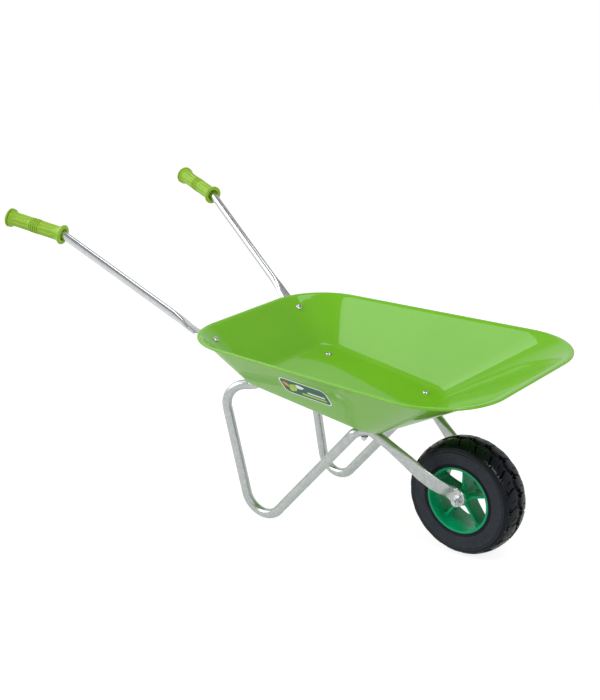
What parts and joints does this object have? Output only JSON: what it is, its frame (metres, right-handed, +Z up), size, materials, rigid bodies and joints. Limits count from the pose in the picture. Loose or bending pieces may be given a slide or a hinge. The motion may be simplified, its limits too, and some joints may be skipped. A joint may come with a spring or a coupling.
{
  "type": "wheelbarrow",
  "caption": "Child's single-wheel wheelbarrow: a tapered pressed steel tray on bent tube legs and fork arms, with two gripped handles and a free-turning spoked wheel.",
  "frame": {"origin": "middle of the footprint's bounding box, at ground level under the tyre", "axes": "+X forward from the grips to the wheel, +Z up, +Y to the left of a person pushing it; the wheel turns about Y"},
  "size_m": [0.7798, 0.4, 0.4271],
  "materials": {
    "tray_paint": "gloss",
    "galvanised_tube": "satin",
    "zinc_plated_steel": "gloss",
    "grip_plastic": "satin",
    "rim_plastic": "gloss",
    "tyre_rubber": "satin",
    "bearing_plastic": "matte",
    "label_vinyl": "gloss"
  },
  "bodies": {
    "frame": {"tray": "tray_paint", "frame_tube_left": "galvanised_tube", "frame_tube_right": "galvanised_tube", "handle_tube_left": "galvanised_tube", "handle_tube_right": "galvanised_tube", "grip_left": "grip_plastic", "grip_right": "grip_plastic", "axle_bolt": "zinc_plated_steel", "axle_nut": "zinc_plated_steel", "axle_washer_left": "zinc_plated_steel", "axle_washer_right": "zinc_plated_steel", "axle_spacer_left": "bearing_plastic", "axle_spacer_right": "bearing_plastic", "side_label": "label_vinyl", "handle_bolt_left": "zinc_plated_steel", "handle_bolt_right": "zinc_plated_steel", "handle_washer_left": "zinc_plated_steel", "handle_washer_right": "zinc_plated_steel", "handle_nut_left": "zinc_plated_steel", "handle_nut_right": "zinc_plated_steel", "rear_floor_bolt_left": "zinc_plated_steel", "rear_floor_bolt_right": "zinc_plated_steel", "rear_floor_washer_left": "zinc_plated_steel", "rear_floor_washer_right": "zinc_plated_steel", "rear_floor_nut_left": "zinc_plated_steel", "rear_floor_nut_right": "zinc_plated_steel", "front_floor_bolt_left": "zinc_plated_steel", "front_floor_bolt_right": "zinc_plated_steel", "front_floor_washer_left": "zinc_plated_steel", "front_floor_washer_right": "zinc_plated_steel", "front_floor_nut_left": "zinc_plated_steel", "front_floor_nut_right": "zinc_plated_steel"},
    "wheel": {"wheel_rim": "rim_plastic", "tyre": "tyre_rubber", "hub_bush_left": "bearing_plastic", "hub_bush_right": "bearing_plastic"}
  },
  "joints": [
    {"name": "wheel_spin", "type": "hinge", "parent": "frame", "child": "wheel", "pos_m": [0.29227, 0, 0.0815], "axis": [0, 1, 0], "continuous": true}
  ]
}
